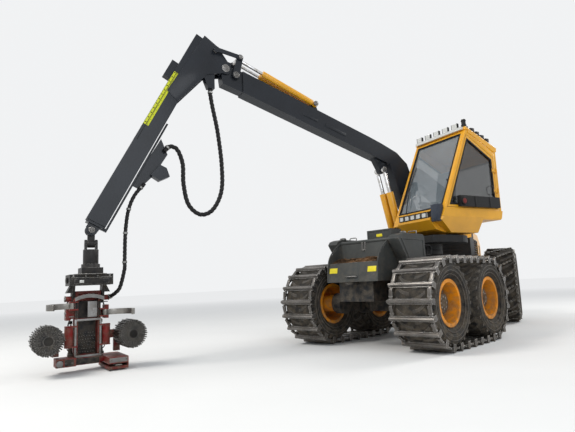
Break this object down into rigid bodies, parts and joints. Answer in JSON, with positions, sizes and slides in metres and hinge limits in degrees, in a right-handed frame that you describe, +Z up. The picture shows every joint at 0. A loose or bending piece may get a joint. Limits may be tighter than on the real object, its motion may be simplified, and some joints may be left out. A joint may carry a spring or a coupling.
{
  "type": "six-wheeled forestry harvester",
  "caption": "Forestry harvester with tracked front bogies, chained rear wheels, a cab and crane that turn together, and a felling head.",
  "frame": {"origin": "middle of the bore of the front tow lug", "axes": "+Z up, the front looks along -Y, +X is the driver's left"},
  "size_m": [4.1207, 10.8292, 5.5229],
  "materials": {
    "frame": "satin",
    "yellow": "gloss",
    "rubber": "matte",
    "track_steel": "worn",
    "bin_grey": "satin",
    "hose": "matte",
    "glass": "clear",
    "lamp": "clear",
    "seat": "matte",
    "pad": "matte",
    "rod": "polished",
    "crane_grey": "satin",
    "head_red": "worn",
    "blade": "worn",
    "grille": "matte"
  },
  "bodies": {
    "chassis": {"front_frame": "frame", "bogie_beams": "frame", "front_rims": "yellow", "front_tyres": "rubber", "tracks": "track_steel", "front_bin": "bin_grey", "side_tanks": "bin_grey", "front_locker": "bin_grey", "slew_ring": "frame", "front_hoses": "hose"},
    "tail": {"rear_frame": "frame", "engine_block": "frame"},
    "hood_lid": {"hood": "yellow", "grille": "grille"},
    "wheel_left": {"rear_rim_left": "yellow", "rear_tyre_left": "rubber"},
    "wheel_right": {"rear_rim_right": "yellow", "rear_tyre_right": "rubber"},
    "upper": {"turntable": "frame", "cab_base": "yellow", "cab_front": "yellow", "cab_side_left": "yellow", "cab_side_right": "yellow", "cab_rear": "yellow", "cab_roof": "yellow", "cab_glass": "glass", "cab_lamps": "lamp", "cab_seat": "seat"},
    "door": {"cab_door": "yellow", "door_pad": "pad", "door_glass": "glass"},
    "boom_arm": {"boom": "crane_grey"},
    "lift_barrel_pair": {"lift_barrels": "yellow"},
    "lift_rod_pair": {"lift_rods": "rod"},
    "luff_barrel_pair": {"luff_barrels": "yellow"},
    "luff_rod_pair": {"luff_rods": "rod"},
    "rocker_pair": {"rocker": "crane_grey"},
    "link_pair": {"rocker_link": "crane_grey"},
    "stick_arm": {"stick": "crane_grey", "loop_hose": "hose"},
    "stick_inner": {"extension": "crane_grey", "head_hose": "hose"},
    "hanger": {"tip_link": "frame", "rotator_housing": "frame"},
    "turning_head": {"rotator": "frame", "head_hanger": "frame"},
    "head_body": {"head_frame": "head_red"},
    "knife_left_arm": {"knife_left": "blade"},
    "knife_right_arm": {"knife_right": "blade"},
    "roller_arm_left": {"arm_left": "head_red"},
    "roller_arm_right": {"arm_right": "head_red"},
    "roller_left": {"feed_roller_left": "track_steel"},
    "roller_right": {"feed_roller_right": "track_steel"},
    "saw": {"saw_bar": "blade"}
  },
  "joints": [
    {"name": "steer", "type": "hinge", "parent": "chassis", "child": "tail", "pos_m": [0, 3.245, -0.135], "axis": [0, 0, 1], "range_deg": [-56, 20]},
    {"name": "hood_open", "type": "hinge", "parent": "tail", "child": "hood_lid", "pos_m": [-1.01976, 6.38349, 0.06], "axis": [-0.9511, -0.309, 0], "range_deg": [0, 45]},
    {"name": "spin_left", "type": "hinge", "parent": "tail", "child": "wheel_left", "pos_m": [0.43764, 5.49012, -0.205], "axis": [0.9511, 0.309, 0], "continuous": true},
    {"name": "spin_right", "type": "hinge", "parent": "tail", "child": "wheel_right", "pos_m": [-1.67371, 4.8041, -0.205], "axis": [0.9511, 0.309, 0], "continuous": true},
    {"name": "slew", "type": "hinge", "parent": "chassis", "child": "upper", "pos_m": [0, 2.245, 0.52], "axis": [0, 0, 1], "range_deg": [-93, 127]},
    {"name": "door_open", "type": "hinge", "parent": "upper", "child": "door", "pos_m": [1.45596, 3.01915, 1.92], "axis": [0, 0, 1], "range_deg": [0, 85]},
    {"name": "boom_lift", "type": "hinge", "parent": "upper", "child": "boom_arm", "pos_m": [-0.31339, 2.75909, 1.32], "axis": [0.9563, -0.2924, 0], "range_deg": [-30, 35]},
    {"name": "lift_tilt", "type": "hinge", "parent": "upper", "child": "lift_barrel_pair", "pos_m": [-0.44203, 2.33832, 0.905], "axis": [0.9563, -0.2924, 0], "range_deg": [-24.6, 28.7]},
    {"name": "lift_stroke", "type": "slide", "parent": "lift_barrel_pair", "child": "lift_rod_pair", "axis": [-0.0664, -0.2172, 0.9739], "range_m": [-0.3146, 0.26965]},
    {"name": "stick_luff", "type": "hinge", "parent": "boom_arm", "child": "stick_arm", "pos_m": [-1.55597, -1.30521, 3.9], "axis": [-0.9563, 0.2924, 0], "range_deg": [-25, 60]},
    {"name": "rocker_turn", "type": "hinge", "parent": "boom_arm", "child": "rocker_pair", "pos_m": [-1.50042, -1.12351, 3.8], "axis": [-0.9563, 0.2924, 0], "range_deg": [-19.68, 47.22]},
    {"name": "link_turn", "type": "hinge", "parent": "rocker_pair", "child": "link_pair", "pos_m": [-1.47703, -1.047, 4.135], "axis": [-0.9563, 0.2924, 0], "range_deg": [-17.22, 7.17]},
    {"name": "luff_tilt", "type": "hinge", "parent": "boom_arm", "child": "luff_barrel_pair", "pos_m": [-1.00923, 0.48308, 3.52], "axis": [-0.9563, 0.2924, 0], "range_deg": [-1.2, 0.5]},
    {"name": "luff_stroke", "type": "slide", "parent": "luff_barrel_pair", "child": "luff_rod_pair", "axis": [-0.2729, -0.8926, 0.3588], "range_m": [-0.26599, 0.11083]},
    {"name": "extend", "type": "slide", "parent": "stick_arm", "child": "stick_inner", "axis": [-0.1359, -0.4445, -0.8854], "range_m": [0, 1.6], "deforming": ["loop_hose"]},
    {"name": "tip_swing", "type": "hinge", "parent": "stick_inner", "child": "hanger", "pos_m": [-2.19249, -3.38718, 0.97321], "axis": [0.9563, -0.2924, 0], "range_deg": [-60, 45], "deforming": ["head_hose"]},
    {"name": "rotate_head", "type": "hinge", "parent": "hanger", "child": "turning_head", "pos_m": [-2.19249, -3.38718, 0.54321], "axis": [0, 0, 1], "continuous": true},
    {"name": "head_tilt", "type": "hinge", "parent": "turning_head", "child": "head_body", "pos_m": [-2.40768, -3.34144, -0.03], "axis": [0.2079, 0.9781, 0], "range_deg": [0, 90]},
    {"name": "knife_close_right", "type": "hinge", "parent": "head_body", "child": "knife_right_arm", "pos_m": [-2.23229, -3.14154, -0.2475], "axis": [0, 0, -1], "range_deg": [0, 42]},
    {"name": "knife_close_left", "type": "hinge", "parent": "head_body", "child": "knife_left_arm", "pos_m": [-2.32876, -3.5954, -0.1325], "axis": [0, 0, 1], "range_deg": [0, 42]},
    {"name": "arm_close_right", "type": "hinge", "parent": "head_body", "child": "roller_arm_right", "pos_m": [-2.28557, -3.10363, -0.575], "axis": [0, 0, -1], "range_deg": [0, 40]},
    {"name": "arm_close_left", "type": "hinge", "parent": "head_body", "child": "roller_arm_left", "pos_m": [-2.39285, -3.60835, -0.575], "axis": [0, 0, 1], "range_deg": [0, 40]},
    {"name": "feed_right", "type": "hinge", "parent": "roller_arm_right", "child": "roller_right", "pos_m": [-2.07502, -2.83453, -0.58], "axis": [0.9781, -0.2079, 0], "continuous": true},
    {"name": "feed_left", "type": "hinge", "parent": "roller_arm_left", "child": "roller_left", "pos_m": [-2.30996, -3.93983, -0.58], "axis": [0.9781, -0.2079, 0], "continuous": true},
    {"name": "saw_swing", "type": "hinge", "parent": "head_body", "child": "saw", "pos_m": [-2.48934, -2.95604, -1], "axis": [0, 0, -1], "range_deg": [0, 90]}
  ],
  "couplings": [
    {"joint": "lift_tilt", "follows": "boom_lift", "ratio": 0.82},
    {"joint": "lift_stroke", "follows": "boom_lift", "m_per_rad": -0.515},
    {"joint": "rocker_turn", "follows": "stick_luff", "ratio": 0.787},
    {"joint": "link_turn", "follows": "stick_luff", "ratio": -0.287},
    {"joint": "luff_tilt", "follows": "stick_luff", "ratio": -0.02},
    {"joint": "luff_stroke", "follows": "stick_luff", "m_per_rad": -0.254},
    {"joint": "knife_close_left", "follows": "knife_close_right", "ratio": 1},
    {"joint": "arm_close_left", "follows": "arm_close_right", "ratio": 1}
  ]
}
